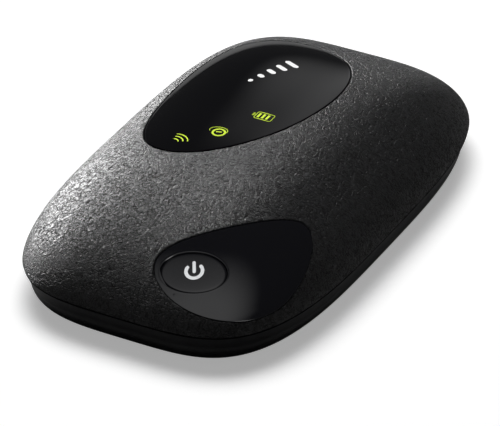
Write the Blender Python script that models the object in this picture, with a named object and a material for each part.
"""Pocket mobile hotspot: a crowned top cover over an inner case, with a lift-off back cover.

Metres, +Z up. +Y runs along the length to the end with the charging socket, and the
origin is under the middle of the back cover. The top cover, inner case and electronics
lift off the back cover along +Z; the battery and the SIM card then come out below.
"""

import math

import bmesh
import bpy
from mathutils import Matrix, Vector

# Overall sizes
LENGTH = 0.0940
WIDTH = 0.0567
SEAM_HEIGHT = 0.00655

# Shape of the plan outline and of the crown
SIDE_POWER = 3.85
END_POWER = 3.40
CROWN_POWER = 2.90
SHOULDER_POWER = 1.47

# Lower band of the back cover: it leans in, then rounds under
BAND_LEAN = 0.0010
BAND_ROUND = 0.0038

# Walls and clearances
GAP = 0.0003
TOP_WALL = 0.0020
BACK_WALL = 0.0015
CASE_WALL = 0.0009
PANEL_WALL = 0.0008
CUT_PAST = 0.0030

# Leaf-shaped panels: centre measured in from the nearest side and end
UPPER_LEAF_IN = (0.02252, 0.03749)
UPPER_LEAF_HALF = (0.0240, 0.01418)
UPPER_LEAF_TURN = 86.5
UPPER_LEAF_FORM = (2.163, 0.183, 0.142)
LOWER_LEAF_IN = (0.01153, 0.01364)
LOWER_LEAF_HALF = (0.01401, 0.00760)
LOWER_LEAF_TURN = 52.0
LOWER_LEAF_FORM = (2.13, -0.27, 0.578)

# Power button, measured from the middle of the lower leaf
BUTTON_OFFSET = (-0.0070, -0.00515)
BUTTON_HALF = (0.00565, 0.0038)
BUTTON_TURN = 16.0
BUTTON_TRAVEL = 0.0003
BUTTON_DISH = 0.00035
BUTTON_LIP = 0.0010
BUTTON_LIP_THICK = 0.0006
POST_RADIUS = 0.0010
SWITCH_SIZE = (0.0042, 0.0034, 0.0012)
PLUNGER_RADIUS = 0.0008
BUTTON_BOARD_SIZE = (0.0100, 0.0052, 0.0008)
RIBBON_WIDTH = 0.0020
RIBBON_THICK = 0.00015

# Battery, bay and boards
BATTERY_SIDE_ROOM = 0.00635
BATTERY_END_ROOM = 0.0170
BATTERY_THICKNESS = 0.0049
ROOM_OVER_BATTERY = 0.0149
BATTERY_ROUND = 0.0030
BAY_CLEARANCE = 0.0004
BOARD_STANDOFF = 0.0013
BOARD_THICKNESS = 0.0009
BOARD_NEAR_ROOM = 0.0165

SHIELD_SHEET = 0.0003
SHIELD_HEIGHT = 0.0017
CHIP_HEIGHT = 0.0009

# Fasteners
SCREW_IN = (0.01045, 0.0116)
SCREW_HEAD = (0.0015, 0.0009)
SCREW_SHANK_RADIUS = 0.0008
SCREW_REACH = 0.0024
BOSS_RADIUS = 0.0018
CLIP_WIDTH = 0.0050
CLIP_THICK = 0.0007
CLIP_REACH = 0.0008
CLIP_INSET = TOP_WALL + 0.0012
CLIP_FOOT = 0.0033
CLIP_ROOT_TALL = 0.0013
NAIL_NOTCH = (0.0090, 0.0010, 0.0011)

# Charging socket
USB_SIZE = (0.0075, 0.0073, 0.0025)
USB_SHEET = 0.0003
USB_SET_BACK = 0.0011
USB_PORT_ROOM = 0.0005

# SIM card and its shell
CARD_SIZE = (0.0150, 0.0250, 0.00076)
CARD_X = -0.0060
CARD_TRAVEL = 0.0170
SIM_SHELL_LENGTH = 0.0160
SIM_SHEET = 0.00025

# Status lights, measured from the middle of the display leaf: a row that leans to the right
LIGHT_OFFSETS = {"wifi": (-0.0024, -0.0198), "internet": (0.0025, -0.0147), "battery": (0.0069, -0.0071)}
LIGHT_SIZE = (0.0016, 0.0016, 0.0007)
WELL_SIZE = (0.0046, 0.0036)
SHROUD_WALL = 0.0008
FILM_THICK = 0.0003

# Reset button, measured in from the right side and the near end
RESET_IN = (0.01235, 0.0270)
RESET_RADIUS = 0.0010
RESET_TRAVEL = 0.00025
RESET_SWITCH_SIZE = (0.0040, 0.0030, 0.0008)

# How finely the round shapes are drawn
OUTLINE_POINTS = 52
DOME_RINGS = 9
INNER_RINGS = 5
LEAF_POINTS = 36
ROUND_POINTS = 12

HEIGHT = BATTERY_THICKNESS + ROOM_OVER_BATTERY
HALF_LENGTH = LENGTH / 2
HALF_WIDTH = WIDTH / 2
BATTERY_BOTTOM = BACK_WALL + BAY_CLEARANCE
BAY_CEILING = BATTERY_BOTTOM + BATTERY_THICKNESS + GAP
CASE_TOP = BAY_CEILING + CASE_WALL
BOARD_BOTTOM = CASE_TOP + BOARD_STANDOFF
BOARD_TOP = BOARD_BOTTOM + BOARD_THICKNESS
BATTERY_HALF = (HALF_WIDTH - BATTERY_SIDE_ROOM, HALF_LENGTH - BATTERY_END_ROOM)
BAY_HALF = (BATTERY_HALF[0] + GAP, BATTERY_HALF[1] + GAP)
CASE_INSET = BACK_WALL + GAP
CARD_FAR_END = (CARD_SIZE[1] + CARD_TRAVEL) / 2


# ---------------------------------------------------------------- shape of the outside


def signed_power(value, power):
    return math.copysign(abs(value) ** power, value)


def outline_ring(half_x, half_y, z, count=OUTLINE_POINTS):
    """The plan outline at one height: a rounded rectangle whose sides still bow a little."""
    ring = []
    for step in range(count):
        angle = 2 * math.pi * step / count
        x = half_x * signed_power(math.cos(angle), 2 / SIDE_POWER)
        y = half_y * signed_power(math.sin(angle), 2 / END_POWER)
        ring.append(Vector((x, y, z)))
    return ring


def outline_share(x, y, inset):
    """How far out a place is, from 0 in the middle to 1 on the outline."""
    low, high = 1e-6, 2.0
    for _ in range(40):
        share = (low + high) / 2
        reach = abs(x / (share * (HALF_WIDTH - inset))) ** SIDE_POWER
        reach += abs(y / (share * (HALF_LENGTH - inset))) ** END_POWER
        if reach > 1:
            low = share
        else:
            high = share
    return high


def crown_height(share, inset=0.0):
    rise = HEIGHT - SEAM_HEIGHT - inset
    return SEAM_HEIGHT + rise * max(0.0, 1 - share**CROWN_POWER) ** (1 / SHOULDER_POWER)


def crown_share(z, inset=0.0):
    """The share of the outline at which the crown has this height."""
    rise = HEIGHT - SEAM_HEIGHT - inset
    return (1 - ((z - SEAM_HEIGHT) / rise) ** SHOULDER_POWER) ** (1 / CROWN_POWER)


def dome_height(x, y, inset=0.0):
    return crown_height(outline_share(x, y, inset), inset)


def dome_point(x, y):
    return Vector((x, y, dome_height(x, y)))


def dome_normal(x, y):
    step = 0.00005
    slope_x = (dome_height(x + step, y) - dome_height(x - step, y)) / (2 * step)
    slope_y = (dome_height(x, y + step) - dome_height(x, y - step)) / (2 * step)
    return Vector((-slope_x, -slope_y, 1)).normalized()


def section_half(z, inset, clear=0.0):
    """Half width and half length of the crown's section at a height, drawn in by a clearance."""
    share = crown_share(z, inset)
    return share * (HALF_WIDTH - inset) - clear, share * (HALF_LENGTH - inset) - clear


def dome_rings(inset, count):
    """Rings from just outside the top pole down to the seam."""
    rings = []
    for step in range(1, count + 1):
        angle = math.pi / 2 * step / count
        share = math.sin(angle) ** (2 / CROWN_POWER)
        z = crown_height(share, inset) if step < count else SEAM_HEIGHT + GAP / 2
        rings.append(outline_ring(share * (HALF_WIDTH - inset), share * (HALF_LENGTH - inset), z))
    return rings


def band_rings(inset, top, count):
    """Rings of the lower band from a top height down to the floor, which lies at the inset."""
    top_inset = inset + BAND_LEAN * (SEAM_HEIGHT - top) / (SEAM_HEIGHT - BAND_ROUND)
    rings = [outline_ring(HALF_WIDTH - top_inset, HALF_LENGTH - top_inset, top)]
    radius = BAND_ROUND - inset
    for step in range(count + 1):
        angle = math.pi / 2 * step / count
        inwards = BAND_LEAN + inset + radius * (1 - math.cos(angle))
        z = BAND_ROUND - radius * math.sin(angle)
        rings.append(outline_ring(HALF_WIDTH - inwards, HALF_LENGTH - inwards, z))
    return rings


# ------------------------------------------------------------------------ mesh helpers


def skin(bm, rings, first_pole=None, last_pole=None):
    """A closed skin over a stack of equal rings, with a fan to a pole or a flat cap at each end."""
    loops = [[bm.verts.new(point) for point in ring] for ring in rings]
    count = len(rings[0])
    for upper, lower in zip(loops, loops[1:]):
        for i in range(count):
            j = (i + 1) % count
            bm.faces.new((upper[i], lower[i], lower[j], upper[j]))
    for loop, pole in ((loops[0], first_pole), (loops[-1], last_pole)):
        if pole is None:
            bm.faces.new(loop)
            continue
        tip = bm.verts.new(pole)
        for i in range(count):
            bm.faces.new((loop[i], loop[(i + 1) % count], tip))
    bmesh.ops.recalc_face_normals(bm, faces=bm.faces)


def lofted(rings, first_pole=None, last_pole=None):
    bm = bmesh.new()
    skin(bm, rings, first_pole, last_pole)
    return bm


def add_box(bm, low, high, frame=None):
    """A box between two corners, in the world or in a local frame."""
    low, high = Vector(low), Vector(high)
    middle = Matrix.Translation((low + high) / 2)
    matrix = (frame or Matrix()) @ middle @ Matrix.Diagonal((*(high - low), 1))
    bmesh.ops.create_cube(bm, size=1, matrix=matrix)


def box(low, high, frame=None):
    bm = bmesh.new()
    add_box(bm, low, high, frame)
    return bm


def add_cylinder(bm, centre, radius, low, high, frame=None, count=ROUND_POINTS):
    middle = Matrix.Translation((centre[0], centre[1], (low + high) / 2))
    bmesh.ops.create_cone(
        bm,
        cap_ends=True,
        segments=count,
        radius1=radius,
        radius2=radius,
        depth=high - low,
        matrix=(frame or Matrix()) @ middle,
    )


def cylinder(centre, radius, low, high, frame=None, count=ROUND_POINTS):
    bm = bmesh.new()
    add_cylinder(bm, centre, radius, low, high, frame, count)
    return bm


def round_upright_edges(bm, radius, segments=3):
    edges = [e for e in bm.edges if abs((e.verts[0].co - e.verts[1].co).normalized().z) > 0.99]
    bmesh.ops.bevel(bm, geom=edges, offset=radius, segments=segments, profile=0.5, affect="EDGES")


def ellipse_ring(half_u, half_v, depth, frame, count=32):
    ring = []
    for step in range(count):
        angle = 2 * math.pi * step / count
        ring.append(frame @ Vector((half_u * math.cos(angle), half_v * math.sin(angle), -depth)))
    return ring


def turned_frame(place, turn_degrees):
    return Matrix.Translation(place) @ Matrix.Rotation(math.radians(turn_degrees), 4, "Z")


# ----------------------------------------------------------------- materials and objects


def finish(name, colour, roughness, metallic=0.0):
    material = bpy.data.materials.new(name)
    material.use_nodes = True
    shader = material.node_tree.nodes["Principled BSDF"]
    shader.inputs["Base Color"].default_value = (*colour, 1)
    shader.inputs["Roughness"].default_value = roughness
    shader.inputs["Metallic"].default_value = metallic
    return material


def make(name, bm, material, joint=None):
    """A named object from a bmesh; a moving piece is parented to the empty on its joint's axis."""
    mesh = bpy.data.meshes.new(name)
    bm.to_mesh(mesh)
    bm.free()
    mesh.materials.append(material)
    mesh.shade_smooth()
    mesh.set_sharp_from_angle(angle=math.radians(35))
    piece = bpy.data.objects.new(name, mesh)
    bpy.context.scene.collection.objects.link(piece)
    if joint:
        piece.parent = joint
        piece.matrix_parent_inverse = joint.matrix_world.inverted()
    return piece


def joint_empty(name, place, parent=None):
    empty = bpy.data.objects.new(name, None)
    empty.empty_display_size = 0.005
    empty.location = place
    bpy.context.scene.collection.objects.link(empty)
    bpy.context.view_layer.update()
    if parent:
        empty.parent = parent
        empty.matrix_parent_inverse = parent.matrix_world.inverted()
    return empty


def combine(piece, tool_bm, operation="DIFFERENCE"):
    """Cuts a shape from a piece, or adds one to it, with a live Boolean."""
    mesh = bpy.data.meshes.new(f"tool_{piece.name}")
    tool_bm.to_mesh(mesh)
    tool_bm.free()
    tool = bpy.data.objects.new(f"tool_{piece.name}", mesh)
    bpy.context.scene.collection.objects.link(tool)
    tool.hide_render = True
    tool.display_type = "WIRE"
    modifier = piece.modifiers.new(operation.title(), "BOOLEAN")
    modifier.operation = operation
    modifier.solver = "EXACT"
    modifier.object = tool


# -------------------------------------------------------------------- leaf-shaped panels


class Leaf:
    """An egg-shaped outline laid on the crown, with one end fuller and its long axis bowed."""

    def __init__(self, centre, half, turn, form):
        self.centre = centre
        self.half_length, self.half_width = half
        self.turn = math.radians(turn)
        self.fullness, self.taper, self.bow = form

    def plan(self, angle, share):
        along, across = math.cos(angle), math.sin(angle)
        reach = (abs(along) ** self.fullness + abs(across) ** self.fullness) ** (-1 / self.fullness)
        along, across = reach * along, reach * across
        u = share * self.half_length * along
        v = share * self.half_width * (across * (1 + self.taper * along) + self.bow * along**2)
        x = self.centre[0] + u * math.cos(self.turn) - v * math.sin(self.turn)
        y = self.centre[1] + u * math.sin(self.turn) + v * math.cos(self.turn)
        return x, y

    def ring(self, share, lift, grow=0.0):
        """A ring on the crown, lifted along the surface's normal and grown outwards along it."""
        ring = []
        for step in range(LEAF_POINTS):
            angle = 2 * math.pi * step / LEAF_POINTS
            x, y = self.plan(angle, share)
            point, normal = dome_point(x, y), dome_normal(x, y)
            ahead = dome_point(*self.plan(angle + 0.01, share))
            behind = dome_point(*self.plan(angle - 0.01, share))
            outwards = (ahead - behind).cross(normal).normalized()
            ring.append(point + outwards * grow + normal * lift)
        return ring

    def pole(self, lift):
        return dome_point(*self.centre) + dome_normal(*self.centre) * lift

    def solid(self, bottom, top, grow=0.0):
        shares = (0.3, 0.6, 0.85)
        rings = [self.ring(share, top) for share in shares]
        rings.append(self.ring(1, top, grow))
        rings.append(self.ring(1, bottom, grow))
        rings += [self.ring(share, bottom) for share in reversed(shares)]
        return lofted(rings, self.pole(top), self.pole(bottom))


upper_leaf = Leaf(
    (UPPER_LEAF_IN[0] - HALF_WIDTH, HALF_LENGTH - UPPER_LEAF_IN[1]),
    UPPER_LEAF_HALF,
    UPPER_LEAF_TURN,
    UPPER_LEAF_FORM,
)
lower_leaf = Leaf(
    (HALF_WIDTH - LOWER_LEAF_IN[0], LOWER_LEAF_IN[1] - HALF_LENGTH),
    LOWER_LEAF_HALF,
    LOWER_LEAF_TURN,
    LOWER_LEAF_FORM,
)


def button_frame():
    """A frame on the crown at the power button: X along its long side, Z out of the surface."""
    x = lower_leaf.centre[0] + BUTTON_OFFSET[0]
    y = lower_leaf.centre[1] + BUTTON_OFFSET[1]
    out = dome_normal(x, y)
    turn = math.radians(BUTTON_TURN)
    across = out.cross(Vector((math.cos(turn), math.sin(turn), 0))).normalized()
    along = across.cross(out)
    frame = Matrix((along, across, out)).transposed().to_4x4()
    return Matrix.Translation(dome_point(x, y)) @ frame


# ------------------------------------------------------------------------ outer pieces


def screw_places():
    x, y = HALF_WIDTH - SCREW_IN[0], HALF_LENGTH - SCREW_IN[1]
    return [(-x, -y), (x, -y), (-x, y), (x, y)]


def clip_frames():
    """A frame at each clip: origin under the outline, Y pointing out of the side."""
    side_y = HALF_LENGTH / 2
    side_x = HALF_WIDTH * (1 - 0.5**END_POWER) ** (1 / SIDE_POWER)
    end_x = CLIP_WIDTH * 1.9
    end_y = HALF_LENGTH * (1 - (end_x / HALF_WIDTH) ** SIDE_POWER) ** (1 / END_POWER)
    frames = []
    for sign in (-1, 1):
        for other in (-1, 1):
            frames.append(turned_frame((sign * side_x, other * side_y, 0), -90 * sign))
            frames.append(turned_frame((other * end_x, sign * end_y, 0), 90 - 90 * sign))
    return frames


def back_cover(material):
    rim = SEAM_HEIGHT - GAP / 2
    outer = band_rings(0, rim, 5)
    inner = band_rings(BACK_WALL, rim, 4)
    rings = list(reversed(inner)) + outer
    piece = make("back_cover", lofted(rings), material)
    clips = bmesh.new()
    for frame in clip_frames():
        low = (-CLIP_WIDTH / 2, -CLIP_INSET - CLIP_THICK, CLIP_FOOT)
        add_box(clips, low, (CLIP_WIDTH / 2, -CLIP_INSET, SEAM_HEIGHT + CLIP_REACH), frame)
    combine(piece, clips, "UNION")
    roots = bmesh.new()
    for frame in clip_frames():
        low = (-CLIP_WIDTH / 2 + GAP, -CLIP_INSET - CLIP_THICK / 2, CLIP_FOOT + GAP)
        high = (CLIP_WIDTH / 2 - GAP, -BAND_LEAN - BACK_WALL * 0.6, CLIP_FOOT + CLIP_ROOT_TALL)
        add_box(roots, low, high, frame)
    combine(piece, roots, "UNION")
    wide, deep, tall = NAIL_NOTCH
    notch = turned_frame((-HALF_WIDTH, 0, rim), 90)
    combine(piece, box((-wide / 2, -deep, -tall), (wide / 2, CUT_PAST, CUT_PAST), notch))
    return piece


def bottom_case(material, joint):
    top_half = section_half(CASE_TOP, TOP_WALL, 2 * GAP)
    join = CASE_INSET + GAP
    neck = TOP_WALL + 2 * GAP
    outer = [outline_ring(*top_half, CASE_TOP)]
    outer.append(outline_ring(HALF_WIDTH - neck, HALF_LENGTH - neck, SEAM_HEIGHT + GAP))
    outer += band_rings(join, SEAM_HEIGHT - 2 * GAP, 3)
    inner_top = (top_half[0] - CASE_WALL, top_half[1] - CASE_WALL)
    inner = [outline_ring(*inner_top, CASE_TOP)]
    throat = neck + CASE_WALL
    inner.append(outline_ring(HALF_WIDTH - throat, HALF_LENGTH - throat, SEAM_HEIGHT + GAP))
    inner += band_rings(join + CASE_WALL, SEAM_HEIGHT - GAP, 2)
    piece = make("bottom_case", lofted(list(reversed(inner)) + outer), material, joint)
    floor = join
    bay_outer = (BAY_HALF[0] + CASE_WALL, BAY_HALF[1] + CASE_WALL)
    low = (-bay_outer[0], -bay_outer[1], floor + CASE_WALL / 2)
    block = box(low, (bay_outer[0], bay_outer[1], CASE_TOP))
    round_upright_edges(block, BATTERY_ROUND)
    combine(piece, block, "UNION")
    bosses = bmesh.new()
    for place in screw_places():
        add_cylinder(bosses, place, BOSS_RADIUS + GAP, floor + GAP, CASE_TOP)
    combine(piece, bosses, "UNION")
    posts = bmesh.new()
    for x in (-BAY_HALF[0] + 0.003, BAY_HALF[0] - 0.003):
        for y in (-BAY_HALF[1] + 0.0075, BAY_HALF[1] - 0.0075):
            add_cylinder(posts, (x, y), POST_RADIUS, CASE_TOP - GAP, BOARD_BOTTOM - GAP, count=10)
    for side in (-1, 1):
        spot = button_frame() @ Vector((side * BUTTON_BOARD_SIZE[0] * 0.36, 0, -button_board_depth()))
        top = spot.z - BUTTON_BOARD_SIZE[2] / 2 - GAP - POST_RADIUS
        add_cylinder(posts, spot, POST_RADIUS, floor + GAP, top, count=10)
    combine(piece, posts, "UNION")
    bay = box((-BAY_HALF[0], -BAY_HALF[1], -CUT_PAST), (BAY_HALF[0], BAY_HALF[1], BAY_CEILING))
    combine(piece, bay)
    screws = bmesh.new()
    for place in screw_places():
        add_cylinder(screws, place, SCREW_SHANK_RADIUS + GAP, -CUT_PAST, CASE_TOP + CUT_PAST)
    combine(piece, screws)
    heads = bmesh.new()
    for place in screw_places():
        add_cylinder(heads, place, SCREW_HEAD[0] + GAP, -CUT_PAST, screw_seat())
    combine(piece, heads)
    openings = bmesh.new()
    card_room = CARD_SIZE[0] / 2 + 4 * GAP
    near = CARD_FAR_END - CARD_SIZE[1] - CARD_TRAVEL - 2 * GAP
    add_box(
        openings,
        (CARD_X - card_room, near, BAY_CEILING - GAP),
        (CARD_X + card_room, CARD_FAR_END + 4 * GAP, CASE_TOP + GAP),
    )
    add_cylinder(openings, reset_place(), RESET_RADIUS + GAP, BAY_CEILING - GAP, CASE_TOP + GAP)
    reach = USB_SIZE[0] / 2 + USB_PORT_ROOM
    low = (-reach, HALF_LENGTH - 0.006, usb_bottom() - GAP)
    add_box(openings, low, (reach, HALF_LENGTH, CASE_TOP + CUT_PAST))
    slot = contact_spacing() * 1.5
    low = (-slot, BAY_HALF[1] - GAP, BATTERY_BOTTOM + 0.0016)
    add_box(openings, low, (slot, BAY_HALF[1] + CASE_WALL + GAP, BAY_CEILING))
    combine(piece, openings)
    slots = bmesh.new()
    for frame in clip_frames():
        reach = CLIP_WIDTH / 2 + 2 * GAP
        low = (-reach, -CLIP_INSET - CLIP_THICK - 1.2 * GAP, -CUT_PAST)
        add_box(slots, low, (reach, CUT_PAST, CASE_TOP + CUT_PAST), frame)
    combine(piece, slots)
    return piece


def top_cover(material, joint):
    outer = dome_rings(0, DOME_RINGS)
    inner = dome_rings(TOP_WALL, INNER_RINGS)
    poles = Vector((0, 0, HEIGHT)), Vector((0, 0, HEIGHT - TOP_WALL))
    piece = make("top_cover", lofted(outer + list(reversed(inner)), *poles), material, joint)
    bosses = bmesh.new()
    for x, y in screw_places():
        add_cylinder(bosses, (x, y), BOSS_RADIUS, CASE_TOP + GAP, dome_height(x, y) - TOP_WALL * 0.8)
    combine(piece, bosses, "UNION")
    for leaf in (upper_leaf, lower_leaf):
        combine(piece, leaf.solid(-PANEL_WALL - GAP, CUT_PAST, GAP))
    holes = bmesh.new()
    for place in screw_places():
        add_cylinder(holes, place, SCREW_SHANK_RADIUS + GAP, BOARD_BOTTOM - CUT_PAST, screw_tip() + GAP)
    frame = light_frame()
    for spot in light_spots().values():
        local = frame.inverted() @ Vector((*spot, 0))
        low = (local.x - WELL_SIZE[0] / 2, -WELL_SIZE[1] / 2, HEIGHT / 2)
        add_box(holes, low, (local.x + WELL_SIZE[0] / 2, WELL_SIZE[1] / 2, HEIGHT + GAP), frame)
    reach = USB_SIZE[0] / 2 + USB_PORT_ROOM
    low = (-reach, HALF_LENGTH - 0.008, 0)
    add_box(holes, low, (reach, HALF_LENGTH + CUT_PAST, usb_bottom() + USB_SIZE[2] + GAP))
    combine(piece, holes)
    button = button_frame()
    half = (BUTTON_HALF[0] + GAP, BUTTON_HALF[1] + GAP)
    bore = [ellipse_ring(*half, depth, button) for depth in (-CUT_PAST, TOP_WALL + CUT_PAST)]
    combine(piece, lofted(bore))
    return piece


def display_lens(material, joint):
    return make("display_lens", upper_leaf.solid(-PANEL_WALL, 0), material, joint)


def button_panel(material, joint):
    piece = make("button_panel", lower_leaf.solid(-PANEL_WALL, 0), material, joint)
    half = (BUTTON_HALF[0] + GAP, BUTTON_HALF[1] + GAP)
    button = button_frame()
    combine(piece, lofted([ellipse_ring(*half, depth, button) for depth in (-CUT_PAST, CUT_PAST)]))
    return piece


# --------------------------------------------------------------- power button and switch


def lip_depth():
    return TOP_WALL + 2 * GAP


def post_end():
    return lip_depth() + BUTTON_LIP_THICK + GAP


def switch_depth():
    """Depth of the switch's upper face below the crown: the plunger stands out of it."""
    return post_end() + GAP + BUTTON_TRAVEL + GAP


def button_board_depth():
    return switch_depth() + SWITCH_SIZE[2] + GAP + BUTTON_BOARD_SIZE[2] / 2


def power_button(material, joint):
    frame = button_frame()
    half_u, half_v = BUTTON_HALF
    rings = [ellipse_ring(half_u * share, half_v * share, depth, frame) for share, depth in (
        (0.45, BUTTON_DISH),
        (0.80, BUTTON_DISH * 0.6),
        (0.96, GAP),
        (1.00, 2 * GAP),
    )]
    rings.append(ellipse_ring(half_u, half_v, lip_depth(), frame))
    rings.append(ellipse_ring(half_u, half_v + BUTTON_LIP, lip_depth() + GAP, frame))
    rings.append(ellipse_ring(half_u, half_v + BUTTON_LIP, lip_depth() + BUTTON_LIP_THICK, frame))
    rings.append(ellipse_ring(POST_RADIUS, POST_RADIUS, lip_depth() + BUTTON_LIP_THICK, frame))
    rings.append(ellipse_ring(POST_RADIUS, POST_RADIUS, post_end(), frame))
    top = frame @ Vector((0, 0, -BUTTON_DISH))
    return make("power_button", lofted(rings, top, frame @ Vector((0, 0, -post_end()))), material, joint)


def power_plunger(material, joint):
    top = -post_end() - GAP
    bottom = -switch_depth() - SWITCH_SIZE[2] / 2 + BUTTON_TRAVEL
    return make("power_plunger", cylinder((0, 0), PLUNGER_RADIUS, bottom, top, button_frame()), material, joint)


def power_switch(material, joint):
    half_u, half_v = SWITCH_SIZE[0] / 2, SWITCH_SIZE[1] / 2
    top = -switch_depth()
    bottom = top - SWITCH_SIZE[2]
    frame = button_frame()
    piece = make("power_switch", box((-half_u, -half_v, bottom), (half_u, half_v, top), frame), material, joint)
    pit = cylinder((0, 0), PLUNGER_RADIUS + GAP, top - SWITCH_SIZE[2] / 2 - GAP, top + GAP, frame)
    combine(piece, pit)
    return piece


def button_board(material, joint):
    half_u, half_v = BUTTON_BOARD_SIZE[0] / 2, BUTTON_BOARD_SIZE[1] / 2
    middle = -button_board_depth()
    thick = BUTTON_BOARD_SIZE[2] / 2
    low, high = (-half_u, -half_v, middle - thick), (half_u, half_v, middle + thick)
    return make("button_board", box(low, high, button_frame()), material, joint)


def switch_ribbon(material, joint):
    """A flat flexible strip from the button board over to the main board's near edge."""
    frame = button_frame()
    above = -button_board_depth() + BUTTON_BOARD_SIZE[2] / 2 + 2 * GAP
    beside = SWITCH_SIZE[0] / 2 + RIBBON_WIDTH / 2 + 2 * GAP
    board_edge = BOARD_NEAR_ROOM - HALF_LENGTH
    start = frame @ Vector((beside, -BUTTON_BOARD_SIZE[1] * 0.2, above))
    bend = frame @ Vector((beside, BUTTON_BOARD_SIZE[1] * 0.48, above))
    over = Vector((bend.x, board_edge - GAP, BOARD_TOP + 2 * GAP))
    end = Vector((bend.x, board_edge + 2 * RIBBON_WIDTH, BOARD_TOP + 2 * GAP))
    rings = []
    for point in (start, bend, over, end):
        half = RIBBON_WIDTH / 2
        corners = ((-half, 0), (half, 0), (half, RIBBON_THICK), (-half, RIBBON_THICK))
        rings.append([point + Vector((x, 0, z)) for x, z in corners])
    return make("switch_ribbon", lofted(rings), material, joint)


# -------------------------------------------------------------------------- electronics


def usb_bottom():
    return SEAM_HEIGHT + 3 * GAP


def board_cutout():
    """Half width and inner end of the board's notch, in which the charging socket sits."""
    return USB_SIZE[0] / 2 + GAP, HALF_LENGTH - USB_SET_BACK - USB_SIZE[1] - GAP


def main_board(material, joint):
    half = section_half(BOARD_TOP, TOP_WALL, 3 * GAP)
    near = BOARD_NEAR_ROOM - HALF_LENGTH
    plan = outline_ring(*half, 0)
    rings = [[Vector((p.x, p.y, z)) for p in plan] for z in (BOARD_TOP, BOARD_BOTTOM)]
    piece = make("main_board", lofted(rings), material, joint)
    cuts = bmesh.new()
    add_box(cuts, (-WIDTH, -LENGTH, 0), (WIDTH, near, HEIGHT))
    half_notch, notch_end = board_cutout()
    add_box(cuts, (-half_notch, notch_end, 0), (half_notch, LENGTH, HEIGHT))
    for place in screw_places()[2:]:
        add_cylinder(cuts, place, BOSS_RADIUS + 2 * GAP, 0, HEIGHT)
    combine(piece, cuts)
    return piece


def shield_and_chip(name, low_corner, high_corner, materials, joint):
    """A pressed can, open below, over one chip, between two corners of its plan."""
    sheet, height = SHIELD_SHEET, SHIELD_HEIGHT
    half_x = (high_corner[0] - low_corner[0]) / 2
    half_y = (high_corner[1] - low_corner[1]) / 2
    bottom = BOARD_TOP + GAP
    frame = Matrix.Translation((low_corner[0] + half_x, low_corner[1] + half_y, 0))
    can = box((-half_x, -half_y, bottom), (half_x, half_y, bottom + height), frame)
    round_upright_edges(can, 0.001, 2)
    piece = make(f"{name}_shield", can, materials["tin"], joint)
    low = (-half_x + sheet, -half_y + sheet, bottom - GAP)
    combine(piece, box(low, (half_x - sheet, half_y - sheet, bottom + height - sheet), frame))
    chip_half = min(half_x, half_y) * 0.62
    low, high = (-chip_half, -chip_half, bottom), (chip_half, chip_half, bottom + CHIP_HEIGHT)
    make(f"{name}_chip", box(low, high, frame), materials["chip"], joint)


def board_parts(materials, joint):
    """The cans and the bare memory chip, laid out from the board's sides and ends."""
    left, right = -HALF_WIDTH, HALF_WIDTH
    far, near = HALF_LENGTH, BOARD_NEAR_ROOM - HALF_LENGTH
    low = (left + 0.00885, far - 0.0410)
    shield_and_chip("modem", low, (low[0] + 0.0180, low[1] + 0.0200), materials, joint)
    low = (right - 0.02685, far - 0.0320)
    shield_and_chip("wifi", low, (low[0] + 0.0150, low[1] + 0.0170), materials, joint)
    low = (right - 0.02385, near + 0.0070)
    high = (low[0] + 0.0150, light_spots()["internet"].y + 0.0007)
    shield_and_chip("power", low, high, materials, joint)
    low = Vector((left + 0.0085, near + 0.0085, BOARD_TOP + GAP))
    high = low + Vector((0.0080, 0.0080, CHIP_HEIGHT))
    make("memory_chip", box(low, high), materials["chip"], joint)


def usb_socket(materials, joint):
    half_x = USB_SIZE[0] / 2
    mouth = HALF_LENGTH - USB_SET_BACK
    low, high = usb_bottom(), usb_bottom() + USB_SIZE[2]
    shell = box((-half_x, mouth - USB_SIZE[1], low), (half_x, mouth, high))
    piece = make("usb_shell", shell, materials["steel"], joint)
    inside = (half_x - USB_SHEET, low + USB_SHEET, high - USB_SHEET)
    room_low = (-inside[0], mouth - USB_SIZE[1] + 2 * USB_SHEET, inside[1])
    combine(piece, box(room_low, (inside[0], mouth + GAP, inside[2])))
    middle = (low + high) / 2
    low = (-half_x * 0.55, mouth - USB_SIZE[1] + 2 * USB_SHEET + GAP, middle)
    make("usb_tongue", box(low, (half_x * 0.55, mouth - 0.0012, middle + 0.0006)), materials["black"], joint)


def card_bottom():
    return BAY_CEILING + SIM_SHEET + 2 * GAP


def sim_holder(materials, joint, card_joint):
    half = CARD_SIZE[0] / 2 + GAP + SIM_SHEET
    near = CARD_FAR_END + GAP + SIM_SHEET - SIM_SHELL_LENGTH
    low = (CARD_X - half, near, BAY_CEILING + GAP)
    high = (CARD_X + half, near + SIM_SHELL_LENGTH, BOARD_BOTTOM - GAP)
    piece = make("sim_shell", box(low, high), materials["steel"], joint)
    room_low = (CARD_X - half + SIM_SHEET, near - GAP, card_bottom() - GAP)
    room_high = (CARD_X + half - SIM_SHEET, near + SIM_SHELL_LENGTH - SIM_SHEET, BOARD_BOTTOM)
    combine(piece, box(room_low, room_high))
    card = bmesh.new()
    half_x = CARD_SIZE[0] / 2
    add_box(
        card,
        (CARD_X - half_x, CARD_FAR_END - CARD_SIZE[1], card_bottom()),
        (CARD_X + half_x, CARD_FAR_END, card_bottom() + CARD_SIZE[2]),
    )
    corner = [
        e for e in card.edges
        if all(v.co.x > CARD_X and v.co.y < CARD_FAR_END - half_x for v in e.verts)
        and abs(e.verts[0].co.z - e.verts[1].co.z) > GAP
    ]
    bmesh.ops.bevel(card, geom=corner, offset=0.003, segments=1, affect="EDGES")
    make("sim_card", card, materials["card"], card_joint)


def light_spots():
    centre = Vector(upper_leaf.centre)
    return {name: centre + Vector(offset) for name, offset in LIGHT_OFFSETS.items()}


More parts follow.
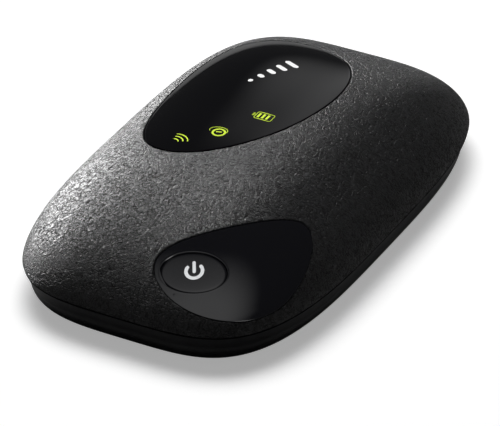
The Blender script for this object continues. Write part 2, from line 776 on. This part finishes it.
def light_frame():
    """A frame at the middle of the status lights, with X along their row."""
    first, last = light_spots()["wifi"], light_spots()["battery"]
    row = last - first
    return turned_frame((*((first + last) / 2), 0), math.degrees(math.atan2(row.y, row.x)))


def film_top():
    frame = light_frame()
    reach = shroud_half()
    corners = [frame @ Vector((u * reach[0], v * reach[1], 0)) for u in (-1, 1) for v in (-1, 1)]
    return min(dome_height(p.x, p.y, TOP_WALL) for p in corners) - 2 * GAP


def shroud_half():
    row = light_spots()["battery"] - light_spots()["wifi"]
    return row.length / 2 + WELL_SIZE[0] / 2 + SHROUD_WALL, WELL_SIZE[1] / 2 + SHROUD_WALL


def status_lights(materials, joint):
    frame = light_frame()
    reach = shroud_half()
    top = film_top()
    film = box((-reach[0], -reach[1], top - FILM_THICK), (reach[0], reach[1], top), frame)
    make("icon_film", film, materials["film"], joint)
    low = (-reach[0], -reach[1], BOARD_TOP + GAP)
    high = (reach[0], reach[1], top - FILM_THICK - GAP)
    shroud = make("led_shroud", box(low, high, frame), materials["rubber"], joint)
    wells = bmesh.new()
    half = [size / 2 for size in LIGHT_SIZE]
    for name, spot in light_spots().items():
        u = (frame.inverted() @ Vector((*spot, 0))).x
        room = (u - WELL_SIZE[0] / 2, -WELL_SIZE[1] / 2, BOARD_TOP)
        add_box(wells, room, (u + WELL_SIZE[0] / 2, WELL_SIZE[1] / 2, HEIGHT), frame)
        bottom = BOARD_TOP + GAP
        light = box((u - half[0], -half[1], bottom), (u + half[0], half[1], bottom + LIGHT_SIZE[2]), frame)
        make(f"led_{name}", light, materials["led"], joint)
    combine(shroud, wells)


def contact_spacing():
    return 0.0030


def battery_pack(materials, joint):
    half_x, half_y = BATTERY_HALF
    top = BATTERY_BOTTOM + BATTERY_THICKNESS
    pack = box((-half_x, -half_y, BATTERY_BOTTOM), (half_x, half_y, top))
    round_upright_edges(pack, BATTERY_ROUND)
    piece = make("battery", pack, materials["battery"], joint)
    pockets = bmesh.new()
    pad = (0.0008, 0.0005, 0.0018)
    low = top - 0.0026
    for number in (1, 2, 3):
        x = (number - 2) * contact_spacing()
        wide = pad[0] + GAP
        add_box(
            pockets,
            (x - wide, half_y - pad[1] - GAP, low - GAP),
            (x + wide, half_y + GAP, low + pad[2] + GAP),
        )
        plate = box((x - pad[0], half_y - pad[1], low), (x + pad[0], half_y, low + pad[2]))
        make(f"battery_contact_{number}", plate, materials["gold"], joint)
    combine(piece, pockets)


def battery_connector(materials, joint):
    """The moulded block behind the bay's end wall, and its three bent contact blades."""
    half = contact_spacing() * 1.5 + 0.001
    near = BAY_HALF[1] + CASE_WALL + GAP
    low = (-half, near, BATTERY_BOTTOM + 0.0015)
    make("battery_connector", box(low, (half, near + 0.0032, BOARD_BOTTOM - GAP)), materials["black"], joint)
    tip = BAY_HALF[1] + GAP / 6
    wide, sheet = 0.0006, 0.00025
    middle = BATTERY_BOTTOM + BATTERY_THICKNESS - 0.0017
    for number in (1, 2, 3):
        x = (number - 2) * contact_spacing()
        route = ((near - 2 * GAP, middle + 0.0013), (tip, middle), (near - 2 * GAP, middle - 0.0013))
        rings = []
        for y, z in route:
            corners = ((-wide, 0), (wide, 0), (wide, sheet), (-wide, sheet))
            rings.append([Vector((x + across, y + back, z)) for across, back in corners])
        make(f"contact_spring_{number}", lofted(rings), materials["gold"], joint)


def reset_place():
    return HALF_WIDTH - RESET_IN[0], RESET_IN[1] - HALF_LENGTH


def reset_parts(materials, joint, reset_joint):
    x, y = reset_place()
    half_x, half_y = RESET_SWITCH_SIZE[0] / 2, RESET_SWITCH_SIZE[1] / 2
    top = BOARD_BOTTOM - GAP
    bottom = top - RESET_SWITCH_SIZE[2]
    body = box((x - half_x, y - half_y, bottom), (x + half_x, y + half_y, top))
    make("reset_switch", body, materials["black"], joint)
    stem = cylinder((x, y), RESET_RADIUS, BAY_CEILING + GAP / 2, bottom - RESET_TRAVEL - GAP / 6)
    make("reset_button", stem, materials["black"], reset_joint)


def antenna(name, start, end, inner_share, material, joint):
    """A thin flexible aerial on the inside of the top cover, between two angles of the outline."""
    columns, rows = 8, 3
    shares = [inner_share + 0.14 * row / rows for row in range(rows + 1)]

    def place(column, share, inset):
        angle = math.radians(start + (end - start) * column / columns)
        x = share * (HALF_WIDTH - inset) * signed_power(math.cos(angle), 2 / SIDE_POWER)
        y = share * (HALF_LENGTH - inset) * signed_power(math.sin(angle), 2 / END_POWER)
        return Vector((x, y, crown_height(share, inset)))

    near, far = TOP_WALL + 2 * GAP, TOP_WALL + 3 * GAP
    rings = []
    for column in range(columns + 1):
        upper = [place(column, share, near) for share in shares]
        lower = [place(column, share, far) for share in reversed(shares)]
        rings.append(upper + lower)
    make(name, lofted(rings), material, joint)


def screw_seat():
    return CASE_INSET + GAP + CASE_WALL + SCREW_HEAD[1]


def screw_tip():
    return CASE_TOP + SCREW_REACH


def case_screws(material, joint):
    for number, place in enumerate(screw_places(), 1):
        low = screw_seat() - GAP - SCREW_HEAD[1]
        profile = (
            (SCREW_HEAD[0] * 0.8, low),
            (SCREW_HEAD[0], low + SCREW_HEAD[1] * 0.3),
            (SCREW_HEAD[0], low + SCREW_HEAD[1]),
            (SCREW_SHANK_RADIUS, low + SCREW_HEAD[1]),
            (SCREW_SHANK_RADIUS, screw_tip() - GAP),
            (SCREW_SHANK_RADIUS * 0.5, screw_tip()),
        )
        frame = Matrix.Translation((*place, 0))
        rings = [ellipse_ring(radius, radius, -z, frame, ROUND_POINTS) for radius, z in profile]
        make(f"case_screw_{number}", lofted(rings), material, joint)


# ------------------------------------------------------------------------- the assembly


def clear_scene():
    for existing in list(bpy.data.objects):
        bpy.data.objects.remove(existing, do_unlink=True)


def main():
    clear_scene()
    materials = {
        "grain": finish("grained_black_plastic", (0.012, 0.012, 0.013), 0.55),
        "smooth": finish("smooth_black_plastic", (0.010, 0.010, 0.011), 0.45),
        "gloss": finish("gloss_black_panel", (0.006, 0.006, 0.007), 0.08),
        "case": finish("grey_case_plastic", (0.045, 0.045, 0.047), 0.6),
        "black": finish("black_moulding", (0.015, 0.015, 0.016), 0.5),
        "board": finish("green_board", (0.015, 0.11, 0.05), 0.45),
        "ribbon": finish("amber_ribbon", (0.42, 0.17, 0.03), 0.35),
        "tin": finish("tinned_steel", (0.62, 0.62, 0.60), 0.35, 1.0),
        "steel": finish("bright_steel", (0.66, 0.66, 0.67), 0.28, 1.0),
        "gold": finish("gold_plate", (0.83, 0.62, 0.26), 0.25, 1.0),
        "chip": finish("chip_resin", (0.02, 0.02, 0.022), 0.55),
        "led": finish("led_lens", (0.80, 0.86, 0.55), 0.25),
        "film": finish("printed_film", (0.02, 0.02, 0.02), 0.5),
        "rubber": finish("soft_black_rubber", (0.014, 0.014, 0.014), 0.8),
        "battery": finish("battery_wrap", (0.10, 0.10, 0.105), 0.5),
        "card": finish("white_card", (0.78, 0.78, 0.76), 0.45),
    }
    lift = joint_empty("cover_release", (0, 0, 0))
    battery_lift = joint_empty("battery_lift", (0, 0, BATTERY_BOTTOM), lift)
    card_slide = joint_empty("sim_slide", (CARD_X, CARD_FAR_END, card_bottom()), lift)
    power_press = joint_empty("power_press", button_frame().translation, lift)
    reset_press = joint_empty("reset_press", (*reset_place(), BAY_CEILING), lift)

    back_cover(materials["smooth"])
    bottom_case(materials["case"], lift)
    top_cover(materials["grain"], lift)
    display_lens(materials["gloss"], lift)
    button_panel(materials["gloss"], lift)
    power_button(materials["gloss"], power_press)
    power_plunger(materials["black"], power_press)
    power_switch(materials["steel"], lift)
    button_board(materials["board"], lift)
    switch_ribbon(materials["ribbon"], lift)
    main_board(materials["board"], lift)
    board_parts(materials, lift)
    usb_socket(materials, lift)
    sim_holder(materials, lift, card_slide)
    status_lights(materials, lift)
    battery_pack(materials, battery_lift)
    battery_connector(materials, lift)
    reset_parts(materials, lift, reset_press)
    antenna("main_antenna", 200, 250, 0.64, materials["ribbon"], lift)
    antenna("diversity_antenna", 100, 160, 0.58, materials["ribbon"], lift)
    antenna("wifi_antenna", 12, 60, 0.58, materials["ribbon"], lift)
    case_screws(materials["steel"], lift)


main()
